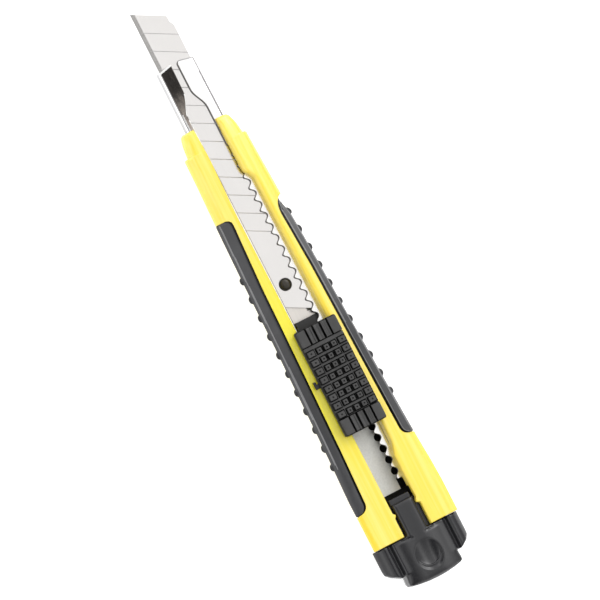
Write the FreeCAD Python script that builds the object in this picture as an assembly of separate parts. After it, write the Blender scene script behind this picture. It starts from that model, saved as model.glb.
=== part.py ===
import FreeCAD, Part
import math
import os

from FreeCAD import Vector

# Snap-off utility knife for 9 mm blades, lying on its back with the slider on top.
# +X points from the end cap to the blade's tip, +Y to the cutting edge's side, +Z up.
# A station is a distance in mm from the rear end of the cap; the origin is the centre of
# the bounding box's bottom face. Heights are above the knife's back.

LENGTH = 158.9
EPS = 1.0  # how far a cutting tool runs past what it cuts

# Handle body, a one-piece moulding
BODY_REAR = 12.6
BODY_FRONT = 126.3
NOSE_STEP = 120.4
BODY_SECTIONS = [  # station, half width, crown height, height of the widest line
    (BODY_REAR, 12.1, 8.8, 7.5),
    (21.0, 12.02, 8.8, 7.5),
    (27.0, 11.85, 8.8, 6.9),
    (33.0, 11.52, 8.8, 6.55),
    (39.0, 11.29, 8.8, 6.4),
    (49.0, 10.9, 8.78, 6.1),
    (59.0, 10.59, 8.75, 5.75),
    (69.0, 10.28, 8.7, 5.35),
    (79.0, 9.95, 8.6, 4.85),
    (89.0, 9.64, 8.5, 4.4),
    (99.0, 9.3, 8.4, 3.8),
    (107.0, 9.1, 8.25, 3.8),
    (113.0, 8.87, 8.1, 3.7),
    (NOSE_STEP, 8.65, 7.75, 3.45),
]
NOSE_SECTIONS = [(NOSE_STEP - 1.0, 7.95, 7.75, 3.8), (123.5, 7.5, 7.35, 3.4), (BODY_FRONT, 6.6, 6.9, 2.8)]
BACK_CORNER = 2.4
NOSE_LOW = 0.8
NOSE_CORNER = 1.6
FLANK_TAPER = 0.33  # how much the sides draw in per mm of height below the widest line
SHOULDER_SHARE = 0.76
CROWN_DROP = 0.55

# Slot in the handle's top, as the two edges' outlines (station, y)
SLOT_LEFT = [(BODY_REAR - EPS, 3.6), (17.6, 3.6), (18.5, 2.97), (19.4, 3.6), (42.0, 3.65), (46.0, 4.3),
             (103.0, 4.25), (118.0, 3.7), (BODY_FRONT + EPS, 3.7)]
SLOT_RIGHT = [(BODY_REAR - EPS, -4.1), (18.2, -4.1), (19.6, -2.97), (20.6, -3.7), (31.5, -3.7),
              (35.0, -4.7), (83.0, -4.45), (109.0, -4.3), (111.6, -2.65), (BODY_FRONT + EPS, -2.65)]

# Grips, overmoulded in pockets along both sides
GRIP_SKIN = 1.5
GRIP_LOW = 0.9
LEFT_GRIP_REAR = 22.2
RIGHT_GRIP_REAR = 35.0
GRIP_FRONT_INNER = 101.0
GRIP_FRONT_OUTER = 102.4
GRIP_INNER = [(20.0, 9.2), (38.0, 8.5), (63.0, 7.85), (83.0, 7.4), (GRIP_FRONT_INNER, 6.5)]
BUMP_PITCH = 5.12
BUMP_COUNT = 11
BUMP_RADIUS = 1.0
BUMP_RISE = 0.6
BUMP_LOW = 1.9
BUMP_OVER = 0.4  # how far a rib runs above the widest line
LEFT_BUMP_FIRST = 36.0
RIGHT_BUMP_FIRST = 46.6

# Blade channel, folded from stainless strip
SHEET = 0.5
CHANNEL_REAR = 23.6
CHANNEL_FRONT = 143.4
CHANNEL_HALF = 5.2
CHANNEL_NOSE_HALF = 5.08
CHANNEL_LOW = 2.6
CHANNEL_HIGH = 5.6
FIT = 0.05
LEFT_LIP = 3.35
RIGHT_LIP = -2.4
RIGHT_LIP_SETBACK = 2.6
LEFT_LIP_NOSE = 1.4
RIGHT_LIP_NOSE = -0.45
LIP_CURVE = (130.6, 135.2)
NOTCH_FIRST = 28.28
NOTCH_PITCH = 3.09
NOTCH_COUNT = 30
NOTCH_RADIUS = 1.4
NOTCH_CENTRE_Y = -2.14
FLOOR_HOLE_RADIUS = 1.1
FLOOR_HOLE_Y = -3.45
TAIL_CUT = (26.4, -2.75)  # front end and inner side of the opening in the floor's tail

# Snap-off blade
BLADE_WIDTH = 9.0
BLADE_THICK = 0.4
BLADE_LOW = 4.6
BLADE_REAR = 77.5
SNAP_ANGLE = 62.5
BEVEL = 1.05
SEGMENT = 5.0
SEGMENT_COUNT = 12
SCORE_DEPTH = 0.14
SCORE_WIDTH = 0.24
PIN_STATION = 81.8
PIN_Y = 0.4
PIN_RADIUS = 1.6
BLADE_HOLE_RADIUS = 1.7

# Carriage
BLOCK_REAR = 43.5
BLOCK_FRONT = 72.0
SEAT_FRONT = 69.6
BLOCK_TOP = 9.0
SIDE_CLEAR = 0.12
PLATE_LOW = 4.05
PLATE_HIGH = 4.5
PLATE_RIGHT = -1.9
PLATE_LEFT = 2.35
PLATE_REAR = 46.0
PLATE_FRONT = 84.6
PLATE_HALF = 4.4
PLATE_STEP = 73.4
SHOULDER_REAR = 54.5
SPRING_STATION = NOTCH_FIRST + 8 * NOTCH_PITCH
SPRING_HALF_LENGTH = 8.0
SPRING_THICK = 0.3

# Thumb pad
PAD_REAR = 41.1
PAD_LENGTH = 28.8
PAD_HALF = 5.75
PAD_LOW = 9.0
PAD_BASE_TOP = 10.9
PAD_TOP = 11.5
PAD_CORNER = 1.2
STUD_ROWS = 8
STUD_FIRST = 46.75
STUD_PITCH = 2.39
STUD_LENGTH = 1.3
RIB_SPANS = [(-5.6, -3.3), (-2.86, -1.26), (-0.8, 0.8), (1.26, 2.86), (3.3, 5.6)]
RIB_LENGTH = 4.0
PEG_RADIUS = 1.2
PEG_LENGTH = 3.0
PEG_STATIONS = (48.0, 66.0)
PEG_Y = 0.5

# End cap
CAP_HALF = 12.1
CAP_CORE_HALF = 7.5
CAP_TOP = 8.9
CAP_CROWN_RADIUS = 27.8
CAP_SHOULDER_TOP = 7.6
CAP_LOW = 0.3
CAP_FLANK = [(CAP_HALF, 5.3), (10.9, 1.8), (9.4, CAP_LOW)]
CAP_JOINT_GAP = 0.08
DISH_STATION = 6.6
DISH_RADIUS = 3.9
DISH_DEPTH = 0.55
PLUG_FRONT = 21.0
PLUG_HALF = 8.6
PLUG_LOW = 1.8
PLUG_HIGH = 6.9
TONGUE_HALF = 2.9
TONGUE_TOP = 8.8
TONGUE_STEP_TOP = 7.3
TONGUE_FRONT = 22.3
SNAP_SLOT = (10.6, 1.2, 7.5)  # width, height, depth


def at(station):
    """A station as an x coordinate."""
    return station - LENGTH / 2


def box(st0, st1, y0, y1, z0, z1):
    return Part.makeBox(st1 - st0, y1 - y0, z1 - z0, Vector(at(st0), y0, z0))


def cylinder(station, y, z0, z1, radius):
    return Part.makeCylinder(radius, z1 - z0, Vector(at(station), y, z0))


def slab(outline, z0, z1):
    """A flat plate from a closed outline of (station, y) corners."""
    points = [Vector(at(st), y, z0) for st, y in outline]
    face = Part.Face(Part.makePolygon(points + points[:1]))
    return face.extrude(Vector(0, 0, z1 - z0))


def arc(start, middle, end):
    return Part.Arc(start, middle, end).toShape()


def line(start, end):
    return Part.LineSegment(start, end).toShape()


def section(station, half, crown, widest, low, corner):
    """The outline across a station: a skirt below the back, corners, flanks, shoulders and crown."""
    x = at(station)
    foot_z = low + corner
    foot_y = half - FLANK_TAPER * (widest - foot_z)
    rim_y, rim_z = SHOULDER_SHARE * half, crown - CROWN_DROP
    diagonal = math.sqrt(0.5)

    def point(side, y, z):
        return Vector(x, side * y, z)

    def round_corner(side):
        start = point(side, foot_y - corner, low)
        middle = point(side, foot_y - corner * (1 - diagonal), low + corner * (1 - diagonal))
        return arc(start, middle, point(side, foot_y, foot_z))

    def shoulder(side):
        middle = point(side, rim_y + diagonal * (half - rim_y), widest + diagonal * (rim_z - widest))
        return arc(point(side, half, widest), middle, point(side, rim_y, rim_z))

    skirt = low - EPS
    edges = [line(point(-1, foot_y - corner, skirt), point(1, foot_y - corner, skirt))]
    for side in (-1, 1):
        edges.append(line(point(side, foot_y - corner, skirt), point(side, foot_y - corner, low)))
        edges.append(line(point(side, foot_y, foot_z), point(side, half, widest)))
        edges += [round_corner(side), shoulder(side)]
    edges.append(arc(point(1, rim_y, rim_z), Vector(x, 0, crown), point(-1, rim_y, rim_z)))
    return Part.Wire(Part.__sortEdges__(edges))


def loft(sections, inset=0.0, low=0.0, corner=BACK_CORNER):
    """A solid through the sections, with the skirt cut off to leave one flat back."""
    wires = [section(st, half - inset, crown - inset, widest - 0.6 * inset, low, corner)
             for st, half, crown, widest in sections]
    solid = Part.makeLoft(wires, True, True)
    return solid.cut(box(-EPS, LENGTH, -CAP_HALF - EPS, CAP_HALF + EPS, low - 2 * EPS, low))


def between(outline, station):
    """The y of an outline of (station, y) corners at a station."""
    for (st0, y0), (st1, y1) in zip(outline, outline[1:]):
        if st0 <= station <= st1:
            return y0 + (y1 - y0) * (station - st0) / (st1 - st0)
    return outline[-1][1]


def body_half(station):
    return between([(row[0], row[1]) for row in BODY_SECTIONS], station)


def widest_line(station):
    return between([(row[0], row[3]) for row in BODY_SECTIONS], station)


def grip_pocket(side, rear):
    """The space that one grip fills, from the handle's core outwards."""
    outer = CAP_HALF + EPS
    inner = [(st, y) for st, y in GRIP_INNER if st > rear + 1.2]
    line_y = between(GRIP_INNER, rear)
    outline = [(rear, outer), (rear, line_y + 1.0), (rear + 1.0, line_y)]
    outline += inner + [(GRIP_FRONT_OUTER, outer)]
    zone = slab([(st, side * y) for st, y in outline], GRIP_LOW, 2 * CAP_TOP)
    return zone.cut(loft(BODY_SECTIONS, GRIP_SKIN, GRIP_LOW, 1.0))


def slot_cutter():
    outline = SLOT_LEFT + SLOT_RIGHT[::-1]
    return slab(outline, CHANNEL_HIGH - EPS, CAP_TOP + EPS)


def handle_body():
    body = loft(BODY_SECTIONS).fuse(loft(NOSE_SECTIONS, 0.0, NOSE_LOW, NOSE_CORNER))
    body = body.cut(slot_cutter())
    half = CHANNEL_HALF + FIT
    body = body.cut(box(CHANNEL_REAR - FIT, BODY_FRONT + EPS, -half, half,
                        CHANNEL_LOW - FIT, CHANNEL_HIGH + FIT))
    for y0, y1 in ((-4.6, -1.5), (1.5, 4.6)):
        body = body.cut(box(CHANNEL_REAR - EPS, NOSE_STEP, y0, y1, 1.1, CHANNEL_LOW))
    plug_half = PLUG_HALF + 0.1
    body = body.cut(box(BODY_REAR - EPS, CHANNEL_REAR - FIT, -plug_half, plug_half,
                        PLUG_LOW - 0.1, PLUG_HIGH + 0.1))
    body = body.cut(grip_pocket(1, LEFT_GRIP_REAR))
    return body.cut(grip_pocket(-1, RIGHT_GRIP_REAR)).removeSplitter()


def grip(side, rear, first_bump):
    """A soft side grip with a row of ribs that lean with its flank."""
    solid = loft(BODY_SECTIONS).common(grip_pocket(side, rear))
    ribs = []
    for i in range(BUMP_COUNT):
        station = first_bump + i * BUMP_PITCH
        height = widest_line(station) + BUMP_OVER - BUMP_LOW
        y = body_half(station) - BUMP_RADIUS + BUMP_RISE - FLANK_TAPER * (height - BUMP_OVER)
        lean = Vector(0, side * FLANK_TAPER, 1)
        foot = Vector(at(station), side * y, BUMP_LOW)
        ribs.append(Part.makeCylinder(BUMP_RADIUS, height * lean.Length, foot, lean))
    core = loft(BODY_SECTIONS, GRIP_SKIN / 2, GRIP_LOW, 1.0)
    return solid.fuse([rib.cut(core) for rib in ribs]).removeSplitter()


def lip(side, inner, nose_inner, rear):
    """A channel lip's plan outline, narrowing the mouth towards the nose."""
    start, end = LIP_CURVE
    outline = [(rear, side * CHANNEL_HALF), (rear, inner), (start, inner), (end, nose_inner)]
    outline += [(CHANNEL_FRONT, nose_inner), (CHANNEL_FRONT - 0.9, side * CHANNEL_NOSE_HALF)]
    return outline + [(BODY_FRONT, side * CHANNEL_HALF)]


def blade_channel():
    """A C-shaped strip: flat floor, two sides, and two lips, the right one notched for the lock."""
    front = CHANNEL_FRONT - 0.9
    plan = [(CHANNEL_REAR, CHANNEL_HALF), (BODY_FRONT, CHANNEL_HALF), (front, CHANNEL_NOSE_HALF)]
    plan += [(st, -y) for st, y in plan[::-1]]
    channel = slab(plan, CHANNEL_LOW, CHANNEL_HIGH)
    inner = [(CHANNEL_REAR - EPS, CHANNEL_HALF - SHEET), (BODY_FRONT, CHANNEL_HALF - SHEET)]
    inner += [(front + EPS, CHANNEL_NOSE_HALF - SHEET)]
    inner += [(st, -y) for st, y in inner[::-1]]
    channel = channel.cut(slab(inner, CHANNEL_LOW + SHEET, CHANNEL_HIGH + EPS))
    lip_low = CHANNEL_HIGH - SHEET
    channel = channel.fuse(slab(lip(1, LEFT_LIP, LEFT_LIP_NOSE, CHANNEL_REAR), lip_low, CHANNEL_HIGH))
    right_lip = lip(-1, RIGHT_LIP, RIGHT_LIP_NOSE, CHANNEL_REAR + RIGHT_LIP_SETBACK)
    channel = channel.fuse(slab(right_lip, lip_low, CHANNEL_HIGH))
    punches = []
    for i in range(NOTCH_COUNT):
        station = NOTCH_FIRST + i * NOTCH_PITCH
        punches.append(cylinder(station, NOTCH_CENTRE_Y, lip_low - 0.5, CHANNEL_HIGH + EPS, NOTCH_RADIUS))
        punches.append(cylinder(station, FLOOR_HOLE_Y, CHANNEL_LOW - EPS, CHANNEL_LOW + EPS,
                                FLOOR_HOLE_RADIUS))
    cut_front, cut_side = TAIL_CUT
    punches.append(box(CHANNEL_REAR - EPS, cut_front, SHEET - CHANNEL_HALF, cut_side, CHANNEL_LOW - EPS,
                       CHANNEL_LOW + 2 * SHEET))
    return channel.cut(punches).removeSplitter()


def blade():
    """A 9 mm blade with a two-sided bevel, score lines at each segment and a round hole near its tail."""
    half, high = BLADE_WIDTH / 2, BLADE_LOW + BLADE_THICK
    middle = BLADE_LOW + BLADE_THICK / 2
    rear_x, tip_x = at(BLADE_REAR - 10), at(LENGTH + EPS)
    profile = [(-half, BLADE_LOW), (half - BEVEL, BLADE_LOW), (half, middle), (half - BEVEL, high)]
    profile.append((-half, high))
    points = [Vector(rear_x, y, z) for y, z in profile]
    bar = Part.Face(Part.makePolygon(points + points[:1])).extrude(Vector(tip_x - rear_x, 0, 0))
    slant = BLADE_WIDTH / math.tan(math.radians(SNAP_ANGLE))
    relief = [(LENGTH - slant + 0.37, -half + 0.7), (LENGTH - slant - 1.25, -half + 0.64)]
    relief.append((LENGTH - slant - 2.3, -half))
    outline = [(BLADE_REAR, half), (LENGTH, half)] + relief + [(BLADE_REAR - slant, -half)]
    solid = bar.common(slab(outline, BLADE_LOW - EPS, high + EPS))
    for k in range(1, SEGMENT_COUNT + 1):
        front = LENGTH - k * SEGMENT
        groove = [Vector(at(front), half, high + 0.001), Vector(at(front) - SCORE_WIDTH, half, high + 0.001),
                  Vector(at(front) - SCORE_WIDTH / 2, half, high - SCORE_DEPTH)]
        cutter = Part.Face(Part.makePolygon(groove + groove[:1])).extrude(Vector(-slant, -BLADE_WIDTH, 0))
        solid = solid.cut(cutter)
    return solid.cut(cylinder(PIN_STATION, PIN_Y, BLADE_LOW - EPS, high + EPS, BLADE_HOLE_RADIUS))


def carrier_plate():
    """The steel strip that carries the blade's pin: narrow in the block, then as wide as the channel."""
    exit_station, corner = BLOCK_FRONT + 0.05, 1.2
    outline = [(PLATE_REAR, PLATE_RIGHT), (exit_station, PLATE_RIGHT), (exit_station, -PLATE_HALF)]
    outline += [(PLATE_STEP, -PLATE_HALF), (PLATE_STEP, PLATE_RIGHT + 0.2)]
    outline += [(PLATE_FRONT - corner, PLATE_RIGHT + 0.2), (PLATE_FRONT, PLATE_RIGHT + corner)]
    outline += [(PLATE_FRONT, PLATE_HALF - corner), (PLATE_FRONT - corner, PLATE_HALF)]
    outline += [(exit_station, PLATE_HALF), (exit_station, PLATE_LEFT), (PLATE_REAR, PLATE_LEFT)]
    plate = slab(outline, PLATE_LOW, PLATE_HIGH)
    return plate.cut(cylinder(PIN_STATION, PIN_Y, 0, CAP_TOP, 1.0))


def blade_pin():
    """A riveted pin: a foot under the plate, a shank through it and a domed head in the blade's hole."""
    foot = cylinder(PIN_STATION, PIN_Y, PLATE_LOW - 0.5, PLATE_LOW, 1.5)
    shank = cylinder(PIN_STATION, PIN_Y, PLATE_LOW - 0.1, PLATE_HIGH + 0.1, 0.97)
    head = cylinder(PIN_STATION, PIN_Y, PLATE_HIGH, 5.15, PIN_RADIUS)
    rise = 0.4
    radius = (PIN_RADIUS ** 2 + rise ** 2) / (2 * rise)
    ball = Part.makeSphere(radius, Vector(at(PIN_STATION), PIN_Y, 5.15 + rise - radius))
    dome = ball.common(cylinder(PIN_STATION, PIN_Y, 5.15, 6.0, PIN_RADIUS))
    return foot.fuse([shank, head, dome]).removeSplitter()


def slider_block():
    """The block in the channel: base under the lips, neck between them, shoulder above them."""
    inner = CHANNEL_HALF - SHEET - SIDE_CLEAR
    floor, lip_low = CHANNEL_LOW + SHEET, CHANNEL_HIGH - SHEET
    left, right = LEFT_LIP - 0.2, RIGHT_LIP + 0.2
    block = box(BLOCK_REAR, BLOCK_FRONT, -inner, inner, floor + 0.1, lip_low - 0.1)
    block = block.fuse(box(BLOCK_REAR, SEAT_FRONT, right, left, floor + 0.5, BLOCK_TOP))
    block = block.fuse(box(SEAT_FRONT - EPS, BLOCK_FRONT, right, left, floor + 0.5, 6.6))
    block = block.fuse(box(SHOULDER_REAR, SEAT_FRONT - EPS, -3.9, left, CHANNEL_HIGH + 0.15, 8.0))
    block = block.cut(box(PLATE_REAR - 0.05, BLOCK_FRONT + EPS, PLATE_RIGHT - 0.05, PLATE_LEFT + 0.05,
                          PLATE_LOW - 0.03, PLATE_HIGH + 0.03))
    reach = SPRING_HALF_LENGTH + 0.5
    block = block.cut(box(SPRING_STATION - reach, SPRING_STATION + reach, -4.2, -1.1, lip_low - 0.2, 6.4))
    for station in PEG_STATIONS:
        hole = cylinder(station, PEG_Y, BLOCK_TOP - PEG_LENGTH - 0.1, BLOCK_TOP + EPS, PEG_RADIUS + 0.03)
        block = block.cut(hole)
    return block.removeSplitter()


def lock_spring():
    """A leaf spring with a formed tooth that drops into the channel's notches."""
    inside = [(-SPRING_HALF_LENGTH, -1.3), (-3.0, -1.75), (-1.35, -1.85), (-0.35, -3.0)]
    inside += [(-st, y) for st, y in inside[::-1]]
    outside = [(st, y - SPRING_THICK) for st, y in inside]
    outline = [(SPRING_STATION + st, y) for st, y in inside + outside[::-1]]
    return slab(outline, CHANNEL_HIGH - SHEET - 0.1, CHANNEL_HIGH + 0.5)


def pad_base():
    base = box(PAD_REAR, PAD_REAR + PAD_LENGTH, -PAD_HALF, PAD_HALF, PAD_LOW, PAD_BASE_TOP)
    corners = [e for e in base.Edges if abs(e.Length - (PAD_BASE_TOP - PAD_LOW)) < 1e-6]
    return base.makeFillet(PAD_CORNER, corners)


def thumb_pad():
    """A rubber pad with rows of studs between two sets of ribs, and two pegs underneath."""
    pad = pad_base()
    low = PAD_BASE_TOP - 0.1
    raised = []
    for y0, y1 in RIB_SPANS:
        raised.append(box(PAD_REAR + 0.3, PAD_REAR + 0.3 + RIB_LENGTH, y0, y1, low, PAD_TOP - 0.2))
        front = PAD_REAR + PAD_LENGTH - 0.3
        raised.append(box(front - RIB_LENGTH, front, y0, y1, low, PAD_TOP - 0.2))
        for row in range(STUD_ROWS):
            station = STUD_FIRST + row * STUD_PITCH
            raised.append(box(station - STUD_LENGTH / 2, station + STUD_LENGTH / 2, y0, y1, low, PAD_TOP))
    for station in PEG_STATIONS:
        raised.append(cylinder(station, PEG_Y, PAD_LOW - PEG_LENGTH, PAD_LOW + 0.2, PEG_RADIUS))
    return pad.fuse(raised).removeSplitter()


def cap_plan(front):
    """The cap's stepped outline, seen from above: side shoulders, then a core with a bowed end."""
    shoulder = [(front, CAP_HALF), (6.6, CAP_HALF), (6.0, CAP_HALF - 0.6), (4.0, 8.4), (4.0, 0)]
    return shoulder + [(st, -y) for st, y in shoulder[-2::-1]]


def cap_core(front):
    start, end = Vector(at(1.4), CAP_CORE_HALF - 0.5, 0), Vector(at(1.4), -CAP_CORE_HALF + 0.5, 0)
    edges = [arc(start, Vector(at(0), 0, 0), end)]
    edges += [line(end, Vector(at(3.0), -CAP_CORE_HALF, 0)), line(start, Vector(at(3.0), CAP_CORE_HALF, 0))]
    edges += [line(Vector(at(3.0), side * CAP_CORE_HALF, 0), Vector(at(front), side * CAP_CORE_HALF, 0))
              for side in (-1, 1)]
    edges.append(line(Vector(at(front), -CAP_CORE_HALF, 0), Vector(at(front), CAP_CORE_HALF, 0)))
    return Part.Face(Part.Wire(Part.__sortEdges__(edges))).extrude(Vector(0, 0, CAP_TOP))


def cap_envelope():
    """A long bar whose lower sides draw in towards the back."""
    side = [(CAP_HALF, CAP_TOP)] + CAP_FLANK
    points = [Vector(at(-EPS), y, z) for y, z in side] + [Vector(at(-EPS), -y, z) for y, z in side[::-1]]
    return Part.Face(Part.makePolygon(points + points[:1])).extrude(Vector(LENGTH, 0, 0))


def end_cap():
    front = BODY_REAR - CAP_JOINT_GAP
    cap = slab(cap_plan(front), CAP_LOW, CAP_SHOULDER_TOP).fuse(cap_core(front))
    axis_z = CAP_TOP - CAP_CROWN_RADIUS
    crown = Part.makeCylinder(CAP_CROWN_RADIUS, LENGTH, Vector(at(-EPS), 0, axis_z), Vector(1, 0, 0))
    cap = cap.common(crown)
    cap = cap.common(cap_envelope())
    radius = (DISH_RADIUS ** 2 + DISH_DEPTH ** 2) / (2 * DISH_DEPTH)
    cap = cap.cut(Part.makeSphere(radius, Vector(at(DISH_STATION), 0, CAP_TOP + radius - DISH_DEPTH)))
    cap = cap.fuse(box(front - EPS, PLUG_FRONT, -PLUG_HALF, PLUG_HALF, PLUG_LOW, PLUG_HIGH))
    cap = cap.fuse(box(front - EPS, PLUG_FRONT, -TONGUE_HALF, TONGUE_HALF, PLUG_LOW, TONGUE_TOP))
    cap = cap.fuse(box(front - EPS, TONGUE_FRONT, -TONGUE_HALF, TONGUE_HALF, PLUG_LOW, TONGUE_STEP_TOP))
    width, height, depth = SNAP_SLOT
    cap = cap.cut(box(-EPS, depth, -width / 2, width / 2, 4.2, 4.2 + height))
    return cap.removeSplitter()


NODES = {
    "handle_body": handle_body,
    "left_grip": lambda: grip(1, LEFT_GRIP_REAR, LEFT_BUMP_FIRST),
    "right_grip": lambda: grip(-1, RIGHT_GRIP_REAR, RIGHT_BUMP_FIRST),
    "blade_channel": blade_channel,
    "blade": blade,
    "carrier_plate": carrier_plate,
    "blade_pin": blade_pin,
    "slider_block": slider_block,
    "lock_spring": lock_spring,
    "thumb_pad": thumb_pad,
    "end_cap": end_cap,
}

os.makedirs("parts", exist_ok=True)
for name, make in NODES.items():
    shape = make()
    shape.exportStep(f"parts/{name}.step")
    state = "valid" if shape.isValid() else "INVALID"
    print(name, len(shape.Solids), "solid(s)", round(shape.Volume, 1), "mm3", state)
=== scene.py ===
"""Visual model of a snap-off utility knife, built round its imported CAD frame.

The knife lies on its back: +X runs from the end cap to the blade's tip, +Y is the cutting
edge's side and +Z is up. Sizes below are in millimetres, and a station is a distance along X
from the rear end of the cap.
"""

import functools
import math

import bpy
import numpy as np
from mathutils import Matrix, Vector


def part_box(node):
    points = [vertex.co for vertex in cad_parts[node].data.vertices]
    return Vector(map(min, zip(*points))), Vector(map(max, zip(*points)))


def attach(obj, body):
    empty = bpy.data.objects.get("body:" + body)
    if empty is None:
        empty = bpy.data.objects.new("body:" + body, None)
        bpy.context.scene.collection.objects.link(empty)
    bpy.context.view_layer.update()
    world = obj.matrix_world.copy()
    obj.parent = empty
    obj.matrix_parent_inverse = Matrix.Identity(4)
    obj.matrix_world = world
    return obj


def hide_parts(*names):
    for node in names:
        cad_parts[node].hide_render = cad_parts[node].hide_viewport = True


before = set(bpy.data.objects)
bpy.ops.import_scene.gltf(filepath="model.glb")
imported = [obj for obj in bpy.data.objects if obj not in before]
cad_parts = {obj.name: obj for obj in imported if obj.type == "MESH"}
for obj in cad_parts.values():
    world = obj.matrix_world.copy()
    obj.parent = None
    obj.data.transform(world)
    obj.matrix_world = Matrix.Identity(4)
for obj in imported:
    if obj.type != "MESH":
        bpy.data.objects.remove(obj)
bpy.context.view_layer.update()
scene = bpy.context.scene

MM = 0.001
REAR_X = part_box("end_cap")[0].x / MM


# ---- curves along the knife

CURVE_STEP = 0.05


def smooth_curve(points, sigma=0.7):
    """A function of station through (station, value) corners, rounded over about sigma mm."""
    stations, values = np.array(points, float).T
    grid = np.arange(-8.0, 170.0, CURVE_STEP)
    raw = np.interp(grid, stations, values)
    reach = int(4 * sigma / CURVE_STEP) + 1
    kernel = np.exp(-0.5 * (np.arange(-reach, reach + 1) * CURVE_STEP / sigma) ** 2)
    rounded = np.convolve(np.pad(raw, reach, mode="edge"), kernel / kernel.sum(), mode="valid")
    return lambda station: np.interp(station, grid, rounded)


def over(x, start):
    """How far x is above start, or 0."""
    return np.maximum(x - start, 0.0)


def end_round(distance, radius):
    """How far a surface is drawn in at this distance from an end that is rounded with this radius."""
    d = np.clip(distance, 0.0, radius)
    return radius - np.sqrt(over(radius ** 2, (radius - d) ** 2))


def corner_round(u, power):
    """0 up to u = 0, rising ever steeper to 1 at u = 1, as the corner of a superellipse."""
    u = np.clip(u, 0.0, 1.0)
    return 1.0 - (1.0 - u ** power) ** (1.0 / power)


def bell(x, half_width):
    """A half circle's height over x, 1 at the middle and 0 from half_width outwards."""
    return np.sqrt(over(1.0, (x / half_width) ** 2))


def ramp(x, start, end):
    """0 before start, 1 after end, smooth between."""
    t = np.clip((x - start) / (end - start), 0.0, 1.0)
    return t * t * (3.0 - 2.0 * t)


def steps(*spans):
    """Stations from (start, end, step) spans, sorted and without near doubles."""
    found = np.unique(np.round(np.concatenate([np.arange(a, b + 1e-6, s) for a, b, s in spans]), 3))
    return found[np.concatenate([[True], np.diff(found) > 0.02])]


# ---- meshes

def new_mesh(name, points, faces):
    """A mesh from points (station, y, z) in mm, moved into the frame in metres."""
    placed = (np.array(points, float).reshape(-1, 3) + (REAR_X, 0.0, 0.0)) * MM
    mesh = bpy.data.meshes.new(name)
    mesh.from_pydata(placed.tolist(), [], [[int(i) for i in face] for face in faces])
    return mesh


def add_object(name, data):
    made = bpy.data.objects.new(name, data)
    scene.collection.objects.link(made)
    return made


def piece(name, points, faces, body, slot, materials, replaced=(), sharp=35.0, paint=None):
    """A mesh object riding on a body. paint(centres, normals) gives each face's material number."""
    mesh = new_mesh(name, points, faces)
    mesh.validate()
    for m in materials:
        mesh.materials.append(m)
    mesh.update()
    if paint is not None:
        centres = np.array([tuple(p.center) for p in mesh.polygons]) / MM - (REAR_X, 0.0, 0.0)
        normals = np.array([tuple(p.normal) for p in mesh.polygons])
        mesh.polygons.foreach_set("material_index", paint(centres, normals).astype(np.int32))
    mesh.shade_smooth()
    mesh.set_sharp_from_angle(angle=math.radians(sharp))
    made = add_object(name, mesh)
    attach(made, body)
    if replaced:
        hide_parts(*replaced)
    return made


def ring_faces(count, size):
    """Quads between consecutive closed rings, then one face over each end."""
    index = np.arange(count * size).reshape(count, size)
    turned = np.roll(index, -1, axis=1)
    quads = np.stack([index[:-1], index[1:], turned[1:], turned[:-1]], axis=-1).reshape(-1, 4)
    return [list(q) for q in quads] + [list(index[0]), list(index[-1][::-1])]


def loft(rings):
    """Points and faces of a closed surface through an array of rings."""
    return rings.reshape(-1, 3), ring_faces(*rings.shape[:2])


def lathe(profile, station, y, sides):
    """Points and faces of a solid of revolution about a vertical axis, from (radius, z) corners."""
    angles = np.linspace(2.0 * math.pi, 0.0, sides, endpoint=False)
    rings = [np.stack([station + r * np.cos(angles), y + r * np.sin(angles), np.full(sides, z)], axis=1)
             for r, z in profile]
    return np.concatenate(rings), ring_faces(len(profile), sides)


def length_along(path):
    """The length of a path of (y, z) points up to each of them."""
    return np.concatenate([[0.0], np.cumsum(np.hypot(*np.diff(path, axis=0).T))])


def joined(shapes):
    """Several shapes' points and faces as one shape's."""
    points, faces = zip(*shapes)
    starts = np.cumsum([0, *map(len, points)])
    moved = [[i + start for i in face] for start, shape in zip(starts, faces) for face in shape]
    return np.concatenate(points), moved


def resample(path, lengths):
    """Points at these shares of the length of a path of (y, z) corners."""
    run = length_along(path)
    where = np.asarray(lengths) * run[-1]
    return np.stack([np.interp(where, run, path[:, 0]), np.interp(where, run, path[:, 1])], axis=1)


def share_where(path, values, level):
    """The share of a path's length at which values along it first pass level."""
    run = length_along(path)
    passed = (values[:-1] - level) * (values[1:] - level) <= 0.0
    i = int(np.argmax(passed))
    step = values[i + 1] - values[i]
    t = 0.0 if abs(step) < 1e-12 else (level - values[i]) / step
    return (run[i] + t * (run[i + 1] - run[i])) / run[-1]


def inward(path, depth):
    """A path of (y, z) points moved to its left-hand side, which is inside the knife."""
    along = np.gradient(path, axis=0)
    along /= np.maximum(np.hypot(*along.T), 1e-9)[:, None]
    return path + np.stack([-along[:, 1], along[:, 0]], axis=1) * np.reshape(depth, (-1, 1))


# ---- solids from distance fields

def smooth_min(a, b, k):
    h = np.clip(0.5 + 0.5 * (b - a) / k, 0.0, 1.0)
    return b * (1.0 - h) + a * h - k * h * (1.0 - h)


def smooth_max(a, b, k):
    return -smooth_min(-a, -b, k)


def round_box(p, low, high, radius):
    """Distance to a box with rounded edges."""
    gaps = [np.abs(v - (a + b) / 2) - ((b - a) / 2 - radius) for v, a, b in zip(p, low, high)]
    outside = np.sqrt(sum(np.maximum(g, 0.0) ** 2 for g in gaps))
    inside = np.minimum(functools.reduce(np.maximum, gaps), 0.0)
    return outside + inside - radius


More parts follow.
